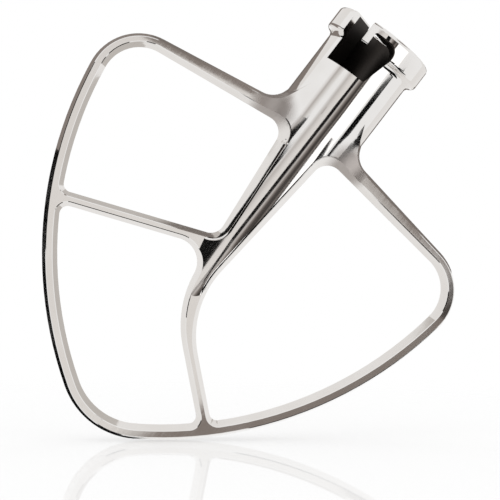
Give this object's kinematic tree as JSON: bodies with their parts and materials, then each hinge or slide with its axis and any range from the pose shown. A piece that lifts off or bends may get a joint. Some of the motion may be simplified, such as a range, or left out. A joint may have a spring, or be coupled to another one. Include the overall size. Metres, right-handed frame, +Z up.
{
  "type": "stand mixer flat beater",
  "caption": "Polished cast steel flat beater for a stand mixer: a ribbed open frame under a socketed hub with a bayonet slot for the drive pin.",
  "frame": {"origin": "centre of the drive socket's mouth, in the hub's top face", "axes": "+Z up along the drive shaft, -Y to the front where the pin seats, +X towards the side with the single large opening"},
  "size_m": [0.1382, 0.0338, 0.1516],
  "materials": {
    "polished_steel": "mirror polished stainless steel casting"
  },
  "bodies": {
    "root": {"flat_beater": "polished_steel"}
  },
  "joints": []
}
